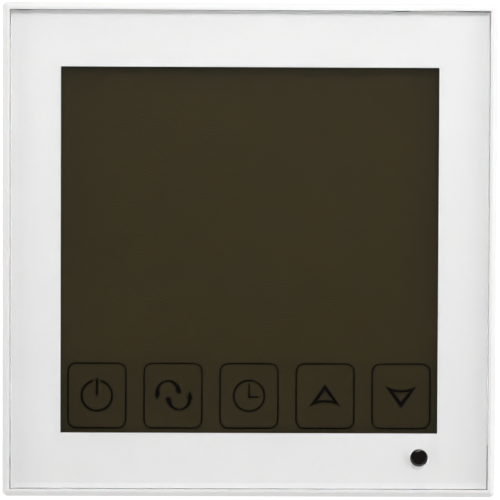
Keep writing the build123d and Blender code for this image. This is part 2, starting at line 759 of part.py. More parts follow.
# ---- rear box: a tub that is open towards the user and stepped at the foot for the terminals
box_mouth = plate_front + 0.2
divider_top = divider_z + divider_thickness
with BuildPart() as rear_box:
    with BuildSketch(facing(box_depth)):
        RectangleRounded(box_size, box_size, box_corner)
    extrude(amount=box_depth - box_mouth)
    fillet(rear_box.faces().sort_by(Axis.Y)[-1].edges(), 1.0)
    with BuildSketch(facing(box_depth - box_wall)):
        RectangleRounded(box_inside, box_inside, 0.6)
    extrude(amount=box_depth - box_wall - box_mouth, mode=Mode.SUBTRACT)
    # divider over the terminals, then the bay for them, open at the back and at the foot
    block(
        (-box_inside / 2 - 0.2, box_inside / 2 + 0.2),
        (power_board_back + slip_gap, box_depth - box_wall + 0.1),
        (divider_z, divider_top),
    )
    block(
        (-box_inside / 2, box_inside / 2),
        (power_board_back, box_depth + 1),
        (-box_half - 1, divider_z),
        mode=Mode.SUBTRACT,
    )
    # corner posts that the power board rests on, and pads behind the tab screws
    for sx in (-1, 1):
        xs = sorted((sx * (box_inside / 2 - 1.4), sx * (box_inside / 2 + 0.2)))
        block(xs, (power_board_back + slip_gap, box_depth - 1), (box_inside / 2 - 1.4, box_inside / 2 + 0.2))
        for z in tab_heights:
            block(xs, (tab_screw_depth - 3, tab_screw_depth + 3), (z - 2.6, z + 2.6))
            with Locations((sx * box_half, tab_screw_depth, z)):
                Cylinder(box_screw_radius + thread_gap, 8.0, rotation=(0, 90, 0), mode=Mode.SUBTRACT)
    # cooling slots in the top wall and the back
    for i in range(7):
        x = (i - 3) * 5.0
        block((x - 0.8, x + 0.8), (9.0, 20.0), (box_inside / 2 - 1, box_half + 1), mode=Mode.SUBTRACT)
        block((x - 0.8, x + 0.8), (box_depth - box_wall - 1, box_depth + 1), (-4.0, 12.0), mode=Mode.SUBTRACT)
keep(rear_box, "rear_box")

with BuildPart() as box_screws:
    head_in = tab_inner + plate_thickness
    for side in (-1, 1):
        for z in tab_heights:
            with Locations((side * (head_in - 1.9), tab_screw_depth, z)):
                Cylinder(box_screw_radius, 3.8, rotation=(0, 90, 0))
            with Locations((side * (head_in + box_screw_head_height / 2), tab_screw_depth, z)):
                Cylinder(box_screw_head, box_screw_head_height, rotation=(0, 90, 0))
            for size in ((0.6, 2.6), (2.6, 0.6)):
                with Locations((side * (head_in + box_screw_head_height), tab_screw_depth, z)):
                    Box(1.4, size[0], size[1], mode=Mode.SUBTRACT)
keep(box_screws, "box_screws")

# ---- insulating cover over the power board, with an aperture for the socket
lid_back = lid_depth + lid_thickness
lid_size = box_inside - 2 * fit_gap
lid_leg_at = lid_size / 2 - 1.6
with BuildPart() as insulating_cover:
    with BuildSketch(facing(lid_back)):
        RectangleRounded(lid_size, lid_size, 0.6)
        with Locations((0, plug_z)):
            Rectangle(contact_count * contact_pitch + 0.8, plug_body + 0.8, mode=Mode.SUBTRACT)
    extrude(amount=lid_thickness)
    with BuildSketch(facing(power_board_depth)):
        with Locations(*four(lid_leg_at, lid_leg_at)):
            Circle(1.4)
    extrude(amount=power_board_depth - lid_back)
keep(insulating_cover, "insulating_cover")

# ---- power board
relay_pins = [(relay_x + dx, relay_z + dz) for dx in (-12.5, 5.0, 12.5) for dz in (-3.75, 3.75)]
with BuildPart() as power_board:
    with BuildSketch(facing(power_board_back)):
        Rectangle(power_board_size, power_board_size)
        for x in terminal_xs:
            with Locations((x, bar_end_z - bar_thickness / 2)):
                Rectangle(1.6, bar_thickness + 0.4, mode=Mode.SUBTRACT)
        with Locations(*relay_pins):
            Circle(0.7, mode=Mode.SUBTRACT)
    extrude(amount=board_thickness)
keep(power_board, "power_board")

with BuildPart() as board_socket:
    socket_front = power_board_depth - socket_height
    block(
        (-contact_count * contact_pitch / 2, contact_count * contact_pitch / 2),
        (socket_front, power_board_depth),
        (plug_z - plug_body / 2, plug_z + plug_body / 2),
    )
    for x in contact_xs:
        reach = contact_pin / 2 + 0.13
        block(
            (x - reach, x + reach),
            (socket_front - 0.1, pin_reach + 0.4),
            (plug_z - reach, plug_z + reach),
            mode=Mode.SUBTRACT,
        )
keep(board_socket, "board_socket")

# ---- terminals: housing, fixed bars, six cages and six captive screws
with BuildPart() as terminal_housing:
    width = terminal_count * terminal_pitch
    block((-width / 2, width / 2), (power_board_back, terminal_back), (terminal_face, terminal_rear))
    for x in terminal_xs:
        reach = cage_inside / 2 + cage_wall + 0.2
        block(
            (x - reach, x + reach),
            (cage_foot_y - slip_gap, cavity_top_y),
            (terminal_face + port_wall, bar_end_z + slip_gap),
            mode=Mode.SUBTRACT,
        )
        # wire port, flared at its mouth
        block(
            (x - port_width / 2, x + port_width / 2),
            (cage_floor_y - 0.2, cage_floor_y - 0.2 + port_height),
            (terminal_face - 1, terminal_face + port_wall + 1),
            mode=Mode.SUBTRACT,
        )
        # screw hole, head recess and its retaining lip
        rod(x, (cage_low_z + cage_high_z) / 2, cavity_top_y - 0.1, head_seat_y + 0.1, clamp_screw_radius + 0.15,
            mode=Mode.SUBTRACT)
        rod(x, (cage_low_z + cage_high_z) / 2, head_seat_y, terminal_back - 0.6, clamp_screw_head + 0.25,
            mode=Mode.SUBTRACT)
        rod(x, (cage_low_z + cage_high_z) / 2, terminal_back - 0.7, terminal_back + 0.1, clamp_screw_head - 0.2,
            mode=Mode.SUBTRACT)
        # slot under each bar's pin
        block(
            (x - 0.8, x + 0.8),
            (power_board_back - 0.1, cage_foot_y),
            (bar_end_z - bar_thickness - 0.1, bar_end_z + 0.1),
            mode=Mode.SUBTRACT,
        )
keep(terminal_housing, "terminal_housing")

with BuildPart() as contact_bars:
    for x in terminal_xs:
        block((x - bar_width / 2, x + bar_width / 2), (bar_front, bar_back), (cage_low_z - 0.3, bar_end_z))
        block(
            (x - bar_width / 2, x + bar_width / 2),
            (cage_foot_y, bar_back),
            (bar_end_z - bar_thickness, bar_end_z),
        )
        block(
            (x - 0.6, x + 0.6),
            (power_board_depth - solder_length, cage_foot_y + 0.1),
            (bar_end_z - bar_thickness, bar_end_z),
        )
keep(contact_bars, "contact_bars")

clamp_z = (cage_low_z + cage_high_z) / 2
for number, x in enumerate(terminal_xs, start=1):
    with BuildPart() as clamp_cage:
        outer = cage_inside / 2 + cage_wall
        block((x - outer, x + outer), (cage_foot_y, cage_top_y), (cage_low_z, cage_high_z))
        fillet(clamp_cage.edges().filter_by(Axis.Z), 0.4)
        block(
            (x - cage_inside / 2, x + cage_inside / 2),
            (cage_floor_y, cage_head_y),
            (cage_low_z - 1, cage_high_z + 1),
            mode=Mode.SUBTRACT,
        )
        rod(x, clamp_z, cage_head_y - 0.1, cage_top_y + 0.1, clamp_screw_radius + 0.05, mode=Mode.SUBTRACT)
    keep(clamp_cage, f"clamp_cage_{number}")

    with BuildPart() as clamp_screw:
        rod(x, clamp_z, bar_back + 0.05, head_seat_y + 0.1, clamp_screw_radius)
        rod(x, clamp_z, head_seat_y + 0.1, head_seat_y + 0.1 + clamp_screw_head_height, clamp_screw_head)
        head_back = head_seat_y + 0.1 + clamp_screw_head_height
        fillet(clamp_screw.faces().sort_by(Axis.Y)[-1].edges(), 0.3)
        with Locations((x, head_back - 0.4, clamp_z)):
            Box(4.2, 1.1, 0.8, mode=Mode.SUBTRACT)
            Box(0.8, 1.1, 2.8, mode=Mode.SUBTRACT)
    keep(clamp_screw, f"clamp_screw_{number}")

# ---- relay: base, shell, coil, yoke, hinged armature and fixed contacts
relay_front = power_board_back
relay_base_back = relay_front + 1.5
relay_back = relay_front + relay_height
coil_x = relay_x - 5.6
coil_front, coil_back = relay_base_back + 1.4, relay_base_back + 10.4
yoke_x = coil_x + 7.0
armature_front = coil_back + 0.3 + armature_gap
pivot_y = armature_front
blade_x = yoke_x + 3.2
with BuildPart() as relay_base:
    block(
        (relay_x - relay_length / 2, relay_x + relay_length / 2),
        (relay_front, relay_base_back),
        (relay_z - relay_width / 2, relay_z + relay_width / 2),
    )
    for x, z in relay_pins:
        rod(x, z, power_board_depth - solder_length, relay_front, 0.5)
keep(relay_base, "relay_base")

with BuildPart() as relay_case:
    block(
        (relay_x - relay_length / 2, relay_x + relay_length / 2),
        (relay_base_back, relay_back),
        (relay_z - relay_width / 2, relay_z + relay_width / 2),
    )
    fillet(relay_case.edges().filter_by(Axis.Y), 0.6)
    block(
        (relay_x - relay_length / 2 + relay_shell, relay_x + relay_length / 2 - relay_shell),
        (relay_base_back - 0.1, relay_back - relay_shell),
        (relay_z - relay_width / 2 + relay_shell, relay_z + relay_width / 2 - relay_shell),
        mode=Mode.SUBTRACT,
    )
keep(relay_case, "relay_case")

with BuildPart() as relay_coil:
    for y in (coil_front, coil_back - 0.8):
        block((coil_x - 5.4, coil_x + 5.4), (y, y + 0.8), (relay_z - 5.2, relay_z + 5.2))
    rod(coil_x, relay_z, coil_front, coil_back, 4.7)
    rod(coil_x, relay_z, coil_front - 0.1, coil_back + 0.1, 2.0 + slip_gap, mode=Mode.SUBTRACT)
keep(relay_coil, "relay_coil")

with BuildPart() as relay_yoke:
    rod(coil_x, relay_z, coil_front - slip_gap, coil_back + 0.3, 2.0)
    block((coil_x - 3.0, yoke_x + 0.6), (relay_base_back, coil_front - slip_gap), (relay_z - 4.5, relay_z + 4.5))
    block((yoke_x - 0.6, yoke_x + 0.6), (relay_base_back, pivot_y - slip_gap), (relay_z - 4.5, relay_z + 4.5))
keep(relay_yoke, "relay_yoke")

contact_y = relay_base_back + 4.0
with BuildPart() as relay_armature:
    block(
        (coil_x - 3.6, yoke_x + 0.8),
        (armature_front, armature_front + armature_thickness),
        (relay_z - 4.5, relay_z + 4.5),
    )
    # contact blade, bent round behind the yoke, with its rivet
    block((yoke_x + 0.8, blade_x + 0.2), (armature_front + 0.6, armature_front + 0.8), (relay_z - 2.5, relay_z + 2.5))
    block((blade_x, blade_x + 0.2), (contact_y - 1.2, armature_front + 0.8), (relay_z - 2.5, relay_z + 2.5))
    with Locations((blade_x + 0.1, contact_y, relay_z)):
        Cylinder(1.3, 1.4, rotation=(0, 90, 0))
keep(relay_armature, "relay_armature")

with BuildPart() as relay_contacts:
    for side, gap in ((-1, 0.08), (1, 0.45)):
        face = blade_x + 0.1 + side * (0.7 + gap)
        with Locations((face + side * 0.25, contact_y, relay_z)):
            Cylinder(1.3, 0.5, rotation=(0, 90, 0))
        strip = sorted((face + side * 0.5, face + side * 0.9))
        block(strip, (relay_base_back, contact_y + 1.6), (relay_z - 1.8, relay_z + 1.8))
keep(relay_contacts, "relay_contacts")

# ---- mains supply
with BuildPart() as transformer:
    tx, tz = 15.2, 15.6
    # ferrite halves over a wound bobbin
    block((tx - 6.2, tx + 6.2), (power_board_back + 1.0, power_board_back + 3.6), (tz - 2.6, tz + 2.6))
    block((tx - 6.2, tx + 6.2), (power_board_back + 9.8, power_board_back + 12.4), (tz - 2.6, tz + 2.6))
    for sx in (-1, 1):
        xs = sorted((tx + sx * 4.4, tx + sx * 6.2))
        block(xs, (power_board_back + 3.6, power_board_back + 9.8), (tz - 2.6, tz + 2.6))
    block((tx - 4.2, tx + 4.2), (power_board_back + 3.8, power_board_back + 9.6), (tz - 5.4, tz + 5.4))
    block((tx - 5.4, tx + 5.4), (power_board_back, power_board_back + 1.0), (tz - 5.8, tz + 5.8))
keep(transformer, "transformer")

with BuildPart() as safety_capacitor:
    block((-20.6, -7.8), (power_board_back, power_board_back + 11.8), (1.2, 7.2))
    fillet(safety_capacitor.edges(), 0.4)
keep(safety_capacitor, "safety_capacitor")

with BuildPart() as bulk_capacitors:
    for x, z, radius, height in ((-2.6, 3.2, 4.0, 13.0), (14.6, 4.0, 3.15, 9.4)):
        rod(x, z, power_board_back, power_board_back + height, radius)
        with BuildSketch(Plane(origin=(x, power_board_back + 1.5, z), x_dir=(1, 0, 0), z_dir=(0, -1, 0))):
            Circle(radius + 0.1)
            Circle(radius - 0.2, mode=Mode.SUBTRACT)
        extrude(amount=0.5, mode=Mode.SUBTRACT)
keep(bulk_capacitors, "bulk_capacitors")

with BuildPart() as surge_parts:
    # varistor disc
    with Locations((6.4, power_board_back + 5.6, 3.0)):
        Cylinder(4.2, 3.4, rotation=(0, 90, 0))
    block((6.1, 6.7), (power_board_back, power_board_back + 2.0), (0.5, 1.1))
    block((6.1, 6.7), (power_board_back, power_board_back + 2.0), (4.9, 5.5))
    # square fuse
    block((-19.0, -10.6), (power_board_back, power_board_back + 7.6), (-8.4, -4.4))
keep(surge_parts, "surge_parts")

with BuildPart() as power_chips:
    block((-4.8, 4.8), (power_board_back + 0.3, power_board_back + 3.8), (-8.6, -2.2))
    block((9.0, 13.6), (power_board_back + 0.3, power_board_back + 3.8), (-8.4, -2.0))
    for x in (-3.6, -1.2, 1.2, 3.6, 10.0, 12.6):
        for z in (-9.2, -1.6):
            block((x - 0.25, x + 0.25), (power_board_back, power_board_back + 1.8), (z - 0.7, z + 0.7))
keep(power_chips, "power_chips")

print(len(parts), "nodes written")
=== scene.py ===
"""Looks of the wall thermostat: a glass-fronted touch controller that plugs onto a power unit in the wall.

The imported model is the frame, in metres: +X to the right as the user sees it, +Z up, +Y into the wall.
"""

import math

import bmesh
import bpy
from mathutils import Matrix, Vector


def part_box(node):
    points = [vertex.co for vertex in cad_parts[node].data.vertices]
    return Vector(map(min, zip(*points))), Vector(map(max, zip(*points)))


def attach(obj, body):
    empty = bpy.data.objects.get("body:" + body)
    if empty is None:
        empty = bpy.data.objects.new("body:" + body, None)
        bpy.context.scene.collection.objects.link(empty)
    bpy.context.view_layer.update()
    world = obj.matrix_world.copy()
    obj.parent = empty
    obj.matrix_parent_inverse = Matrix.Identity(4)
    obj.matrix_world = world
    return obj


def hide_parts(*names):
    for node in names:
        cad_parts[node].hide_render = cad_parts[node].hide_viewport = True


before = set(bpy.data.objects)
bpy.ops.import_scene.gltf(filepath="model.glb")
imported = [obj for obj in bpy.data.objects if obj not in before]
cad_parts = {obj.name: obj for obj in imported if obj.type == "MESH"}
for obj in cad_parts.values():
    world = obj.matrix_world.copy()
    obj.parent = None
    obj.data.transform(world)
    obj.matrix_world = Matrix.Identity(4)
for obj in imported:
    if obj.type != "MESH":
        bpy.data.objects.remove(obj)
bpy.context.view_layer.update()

# ---------------------------------------------------------------- studio and camera
# A pale floor well below the unit, a soft box above, a small one in front, two at the sides, one
# overhead and one behind. The air behind the camera is dim, so that the glass has something dark to
# reflect. The camera looks almost square onto the glass from half a metre, through a long lens.
MM = 0.001
bpy.context.scene.view_settings.view_transform = "Standard"

air = bpy.data.worlds.new("studio_air")
bpy.context.scene.world = air
air.use_nodes = True
air_nodes, air_links = air.node_tree.nodes, air.node_tree.links
heading = air_nodes.new("ShaderNodeSeparateXYZ")
air_links.new(air_nodes.new("ShaderNodeTexCoord").outputs["Generated"], heading.inputs[0])
dimming = air_nodes.new("ShaderNodeMapRange")
dimming.inputs["From Min"].default_value = -0.99
dimming.inputs["From Max"].default_value = -0.75
dimming.inputs["To Min"].default_value = 0.04
dimming.inputs["To Max"].default_value = 0.10
air_links.new(heading.outputs["Y"], dimming.inputs["Value"])
glow_behind = air_nodes.new("ShaderNodeMapRange")
glow_behind.inputs["From Min"].default_value = -0.1
glow_behind.inputs["From Max"].default_value = 0.5
glow_behind.inputs["To Max"].default_value = 0.4
air_links.new(heading.outputs["Y"], glow_behind.inputs["Value"])
glow = air_nodes.new("ShaderNodeMath")
air_links.new(dimming.outputs[0], glow.inputs[0])
air_links.new(glow_behind.outputs[0], glow.inputs[1])
air_links.new(glow.outputs[0], air_nodes["Background"].inputs["Strength"])
backdrop = air_nodes.new("ShaderNodeBackground")
backdrop.inputs["Strength"].default_value = 1.1
backdrop.inputs["Color"].default_value = (1, 1, 1, 1)
air_nodes["Background"].inputs["Color"].default_value = (1, 1, 1, 1)
seen = air_nodes.new("ShaderNodeMixShader")
air_links.new(air_nodes.new("ShaderNodeLightPath").outputs["Is Camera Ray"], seen.inputs[0])
air_links.new(air_nodes["Background"].outputs[0], seen.inputs[1])
air_links.new(backdrop.outputs[0], seen.inputs[2])
air_links.new(seen.outputs[0], air_nodes["World Output"].inputs["Surface"])


def soft_box(name, place, side, watts):
    """A square area light at a place in metres, aimed at the unit."""
    light = bpy.data.lights.new(name, "AREA")
    light.size = side
    light.energy = watts
    lamp = bpy.data.objects.new(name, light)
    lamp.location = place
    lamp.rotation_euler = Vector(place).to_track_quat("Z", "Y").to_euler()
    bpy.context.scene.collection.objects.link(lamp)


soft_box("key_light", (0.11, -0.40, 0.34), 0.16, 1.12)
soft_box("front_light", (0.03, -0.90, 0.18), 0.12, 1.00)
soft_box("right_light", (1.0, -0.30, 0.15), 0.5, 4.8)
soft_box("left_light", (-1.0, -0.26, 0.15), 0.5, 4.2)
soft_box("top_light", (0.1, -0.10, 0.90), 0.5, 1.5)
soft_box("back_light", (-0.45, 0.85, 0.75), 0.7, 5.0)

floor_mesh = bpy.data.meshes.new("floor")
reach, drop = 2.0, -0.45
floor_corners = [(-reach, -reach, drop), (reach, -reach, drop), (reach, reach, drop), (-reach, reach, drop)]
floor_mesh.from_pydata(floor_corners, [], [(0, 1, 2, 3)])
floor = bpy.data.objects.new("floor", floor_mesh)
bpy.context.scene.collection.objects.link(floor)
floor_paper = bpy.data.materials.new("floor_paper")
floor_paper.use_nodes = True
paper = floor_paper.node_tree.nodes["Principled BSDF"]
paper.inputs["Base Color"].default_value = (0.80, 0.80, 0.79, 1)
paper.inputs["Roughness"].default_value = 0.9
paper.inputs["Emission Color"].default_value = (1, 1, 1, 1)
paper_glow = floor_paper.node_tree.nodes.new("ShaderNodeMapRange")
paper_glow.inputs["To Min"].default_value = 0.12
paper_glow.inputs["To Max"].default_value = 0.45
paper_sees = floor_paper.node_tree.nodes.new("ShaderNodeLightPath")
floor_paper.node_tree.links.new(paper_sees.outputs["Is Camera Ray"], paper_glow.inputs["Value"])
floor_paper.node_tree.links.new(paper_glow.outputs[0], paper.inputs["Emission Strength"])
floor_mesh.materials.append(floor_paper)

lens = bpy.data.cameras.new("camera")
lens.lens = 200
lens.sensor_width = 36
lens.clip_start = 0.01
camera = bpy.data.objects.new("camera", lens)
glass_low, glass_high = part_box("glass_panel")
view_width = 86.95 * MM
stand_off = view_width * lens.lens / lens.sensor_width
turn, lift, roll = math.radians(0.68), math.radians(2.08), math.radians(0.24)
aim = Vector((0.05 * MM, glass_low.y, 0.12 * MM))
towards = Vector((-math.sin(turn) * math.cos(lift), -math.cos(turn) * math.cos(lift), math.sin(lift)))
camera.matrix_world = (
    Matrix.Translation(aim + stand_off * towards)
    @ towards.to_track_quat("Z", "Y").to_matrix().to_4x4()
    @ Matrix.Rotation(roll, 4, "Z")
)
bpy.context.scene.collection.objects.link(camera)
bpy.context.scene.camera = camera


# ---------------------------------------------------------------- bezel
# One injection moulding in glossy white ABS: a thin bevelled rim, the ledge that carries the glass, side
# walls with air slots, screw posts and catches. The mould was polished, so the surface has only a faint
# orange peel.
def finish(name, colour, roughness, metallic=0.0):
    """A new material with one shader, and that shader."""
    material = bpy.data.materials.new(name)
    material.use_nodes = True
    shader = material.node_tree.nodes["Principled BSDF"]
    shader.inputs["Base Color"].default_value = (*colour, 1)
    shader.inputs["Roughness"].default_value = roughness
    shader.inputs["Metallic"].default_value = metallic
    return material, shader


def lay(material, kind, inputs, output=0, **settings):
    """Adds a shader node, with numbers or other nodes' outputs as its inputs. Returns one output."""
    tree = material.node_tree
    node = tree.nodes.new("ShaderNode" + kind)
    for setting, value in settings.items():
        setattr(node, setting, value)
    for socket, value in inputs.items():
        if isinstance(value, bpy.types.NodeSocket):
            tree.links.new(value, node.inputs[socket])
        else:
            node.inputs[socket].default_value = value
    return node.outputs[output]


def join(material, source, shader, socket):
    """Links an output to a socket of the shader."""
    material.node_tree.links.new(source, shader.inputs[socket])


def place_on(material, stretch=(1, 1, 1)):
    """The point on the piece in metres, stretched along X, Y and Z."""
    point = lay(material, "TexCoord", {}, "Object")
    return lay(material, "Mapping", {"Vector": point, "Scale": stretch})


def grain(material, size, detail=2.0, stretch=(1, 1, 1)):
    """Soft random grain, from 0 to 1, with features of a size in millimetres."""
    point = place_on(material, stretch)
    return lay(material, "TexNoise", {"Vector": point, "Scale": 1 / (size * MM), "Detail": detail})


def spread(material, value, low, high, from_low=0.3, from_high=0.7):
    """Stretches a pattern between two values."""
    return lay(material, "MapRange", {"Value": value, "From Min": from_low, "From Max": from_high,
                                      "To Min": low, "To Max": high})


def two_tone(material, factor, first, second):
    """Goes from a first colour at 0 to a second at 1; each is three numbers or another node's output."""
    first, second = ((*c, 1) if isinstance(c, tuple) else c for c in (first, second))
    return lay(material, "Mix", {0: factor, 6: first, 7: second}, 2, data_type="RGBA")


def relief(material, shader, height, depth, under=None):
    """Presses a pattern into the surface, to a depth in millimetres, over any relief that is given."""
    inputs = {"Height": height, "Distance": depth * MM, "Strength": 1.0}
    if under is not None:
        inputs["Normal"] = under
    bumps = lay(material, "Bump", inputs)
    join(material, bumps, shader, "Normal")
    return bumps


def paint(material, *names):
    """Gives a finish to pieces of the frame."""
    for name in names:
        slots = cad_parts[name].data.materials
        slots.clear()
        slots.append(material)


gloss_white, shader = finish("bezel_gloss_white", (0.90, 0.90, 0.90), 0.22)
shader.inputs["Specular IOR Level"].default_value = 0.5
shader.inputs["Subsurface Weight"].default_value = 0.08
shader.inputs["Subsurface Scale"].default_value = 0.0006
join(gloss_white, spread(gloss_white, grain(gloss_white, 9.0), 0.18, 0.26), shader, "Roughness")
join(gloss_white, two_tone(gloss_white, grain(gloss_white, 30.0), (0.89, 0.89, 0.89), (0.91, 0.91, 0.91)),
     shader, "Base Color")
rounded = lay(gloss_white, "Bevel", {"Radius": 0.12 * MM}, samples=4)
relief(gloss_white, shader, grain(gloss_white, 2.5, 1.0), 0.003, rounded)
paint(gloss_white, "front_bezel")

# ---------------------------------------------------------------- remote-control lens
# A plug of infrared-passing plastic in the hole at the lower right, flanged behind the ledge.
# It is polished, looks black, and lets a trace of dark red through.
lens_black, shader = finish("receiver_lens_black", (0.008, 0.006, 0.006), 0.08)
shader.inputs["IOR"].default_value = 1.55
shader.inputs["Coat Weight"].default_value = 0.5
shader.inputs["Coat Roughness"].default_value = 0.04
join(lens_black, two_tone(lens_black, grain(lens_black, 1.2), (0.006, 0.005, 0.005), (0.012, 0.007, 0.006)),
     shader, "Base Color")
join(lens_black, spread(lens_black, grain(lens_black, 0.4), 0.06, 0.14), shader, "Roughness")
relief(lens_black, shader, grain(lens_black, 0.6), 0.002)
paint(lens_black, "receiver_lens")

# ---------------------------------------------------------------- glass
# Thin float glass, ground to size, with a wide shallow bevel polished round its front edge and a
# drilled hole for the lens. It replaces the plain panel, and its back stops just short of the print.
bevel_width, bevel_depth = 1.1 * MM, 0.22 * MM
arris = 0.12 * MM
fitting_allowance = 0.05 * MM
print_clearance = 0.03 * MM
lens_low, lens_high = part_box("receiver_lens")
lens_x = (lens_low.x + lens_high.x) / 2
plug_radius, plug_gap, flange_lip = 1.5 * MM, 0.05 * MM, 0.8 * MM
lens_z = lens_low.z + flange_lip + plug_radius
hole_radius = plug_radius + plug_gap
hole_points = 48


def square_ring(mesh, half, y):
    """Four corner points of a square round the middle of the panel."""
    return [mesh.verts.new((sx * half, y, sz * half)) for sx, sz in ((-1, -1), (1, -1), (1, 1), (-1, 1))]


def round_ring(mesh, radius, y):
    """Points round the hole."""
    turns = [math.tau * i / hole_points for i in range(hole_points)]
    points = [(lens_x + radius * math.cos(turn), lens_z + radius * math.sin(turn)) for turn in turns]
    return [mesh.verts.new((x, y, z)) for x, z in points]


def close_between(mesh, rings):
    """Walls from each ring to the next."""
    for one, other in zip(rings, rings[1:]):
        for i in range(len(one)):
            j = (i + 1) % len(one)
            mesh.faces.new((one[i], one[j], other[j], other[i]))


half = glass_high.x + fitting_allowance
back = glass_high.y - print_clearance
pane = bmesh.new()
rim = [
    square_ring(pane, half - bevel_width, glass_low.y),
    square_ring(pane, half, glass_low.y + bevel_depth),
    square_ring(pane, half, back - arris),
    square_ring(pane, half - arris, back),
]
hole = [
    round_ring(pane, hole_radius + arris, glass_low.y),
    round_ring(pane, hole_radius, glass_low.y + arris),
    round_ring(pane, hole_radius, back),
]
close_between(pane, rim)
close_between(pane, hole)
for rings in ((rim[0], hole[0]), (rim[-1], hole[-1])):
    pairs = [(ring[i], ring[(i + 1) % len(ring)]) for ring in rings for i in range(len(ring))]
    edges = [pane.edges.get(pair) for pair in pairs]
    bmesh.ops.triangle_fill(pane, use_beauty=True, edges=edges)
bmesh.ops.recalc_face_normals(pane, faces=pane.faces)
glass_mesh = bpy.data.meshes.new("panel_glass")
pane.to_mesh(glass_mesh)
pane.free()
panel_glass = bpy.data.objects.new("panel_glass", glass_mesh)
bpy.context.scene.collection.objects.link(panel_glass)

clear_glass, shader = finish("clear_glass", (0.985, 0.985, 0.985), 0.0)
shader.inputs["Transmission Weight"].default_value = 1.0
shader.inputs["IOR"].default_value = 1.5
join(clear_glass, spread(clear_glass, grain(clear_glass, 14.0, 4.0), 0.0, 0.02), shader, "Roughness")
relief(clear_glass, shader, grain(clear_glass, 40.0, 1.0), 0.002)
light_through = lay(clear_glass, "BsdfTransparent", {"Color": (0.97, 0.97, 0.97, 1)})
shadow_ray = lay(clear_glass, "LightPath", {}, "Is Shadow Ray")
both = lay(clear_glass, "MixShader", {0: shadow_ray, 1: shader.outputs[0], 2: light_through})
join(clear_glass, both, clear_glass.node_tree.nodes["Material Output"], "Surface")
glass_mesh.materials.append(clear_glass)
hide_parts("glass_panel")
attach(panel_glass, "controller")

# ---------------------------------------------------------------- white print
# Two coats of white ink, screen-printed on the back of the glass up to the window's edge.
# Through the glass it is a smooth satin white with a very slight change in density.
white_ink, shader = finish("white_screen_ink", (0.665, 0.665, 0.665), 0.5)
coats = two_tone(white_ink, grain(white_ink, 22.0), (0.655, 0.655, 0.655), (0.675, 0.675, 0.675))
join(white_ink, coats, shader, "Base Color")
join(white_ink, spread(white_ink, grain(white_ink, 0.2), 0.45, 0.6), shader, "Roughness")
mesh_marks = lay(white_ink, "TexWave", {"Vector": place_on(white_ink), "Scale": 900.0, "Distortion": 0.6},
                 bands_direction="DIAGONAL")
relief(white_ink, shader, mesh_marks, 0.001)
paint(white_ink, "panel_mask_print")

# ---------------------------------------------------------------- key frames and symbols
# Five touch keys, printed in black ink at the foot of the window: thin frames and their function marks.
# The ink is matt, with a slightly uneven lay.
black_ink, shader = finish("black_screen_ink", (0.002, 0.002, 0.001), 0.8)
shader.inputs["Specular IOR Level"].default_value = 0.0
uneven = two_tone(black_ink, grain(black_ink, 0.25), (0.0010, 0.0010, 0.0008), (0.0025, 0.0022, 0.0018))
join(black_ink, uneven, shader, "Base Color")
join(black_ink, spread(black_ink, grain(black_ink, 0.4), 0.5, 0.75), shader, "Roughness")
relief(black_ink, shader, grain(black_ink, 0.15), 0.002)
paint(black_ink, "key_legend_print")

# ---------------------------------------------------------------- foam tape
# A die-cut ring of closed-cell foam tape between the print and the bezel's ledge.
# It is soft and white, with fine open cells at its cut edge.
foam, shader = finish("foam_tape_white", (0.78, 0.78, 0.77), 0.9)
cells = lay(foam, "TexVoronoi", {"Vector": place_on(foam), "Scale": 1 / (0.12 * MM)}, "Distance")
join(foam, two_tone(foam, cells, (0.80, 0.80, 0.79), (0.62, 0.62, 0.60)), shader, "Base Color")
join(foam, spread(foam, cells, 0.8, 0.98, 0, 1), shader, "Roughness")
relief(foam, shader, cells, 0.03)
paint(foam, "panel_tape")

# ---------------------------------------------------------------- touch film
# Clear polyester film with a printed sensor, glued behind the window. Its tail folds back to the main
# board. It adds a faint warm haze to what lies behind it.
film, shader = finish("touch_film_clear", (0.15, 0.14, 0.10), 0.25)
shader.inputs["Alpha"].default_value = 0.02
shader.inputs["Specular IOR Level"].default_value = 0.1
join(film, spread(film, grain(film, 18.0), 0.2, 0.34), shader, "Roughness")
relief(film, shader, grain(film, 6.0), 0.003)
paint(film, "touch_sensor_film")

# ---------------------------------------------------------------- display
# Two plates of glass with the liquid crystal between them, a polariser glued on each side, and a row of
# tinned pins clipped over the top ledge. Switched off, the front polariser shows as a flat dark olive.
polariser, shader = finish("polariser_dark_olive", (0.025, 0.018, 0.004), 0.38)
shader.inputs["Specular IOR Level"].default_value = 0.05
olive = two_tone(polariser, grain(polariser, 26.0), (0.0243, 0.0173, 0.0037), (0.0257, 0.0185, 0.0043))
join(polariser, olive, shader, "Base Color")
join(polariser, spread(polariser, grain(polariser, 0.12), 0.32, 0.46), shader, "Roughness")
relief(polariser, shader, grain(polariser, 0.1), 0.0002)
paint(polariser, "lcd_polarisers")

cell_glass, shader = finish("display_cell_glass", (0.10, 0.11, 0.075), 0.06)
normal = lay(cell_glass, "TexCoord", {}, "Normal")
towards_user = lay(cell_glass, "SeparateXYZ", {0: normal}, "Y")
flat_face = lay(cell_glass, "Math", {0: towards_user}, operation="ABSOLUTE")
cut_or_clear = two_tone(cell_glass, flat_face, (0.26, 0.34, 0.28), (0.06, 0.06, 0.045))
join(cell_glass, cut_or_clear, shader, "Base Color")
join(cell_glass, spread(cell_glass, flat_face, 0.55, 0.05, 0.0, 1.0), shader, "Roughness")
relief(cell_glass, shader, grain(cell_glass, 0.3), 0.002)
paint(cell_glass, "lcd_cell")


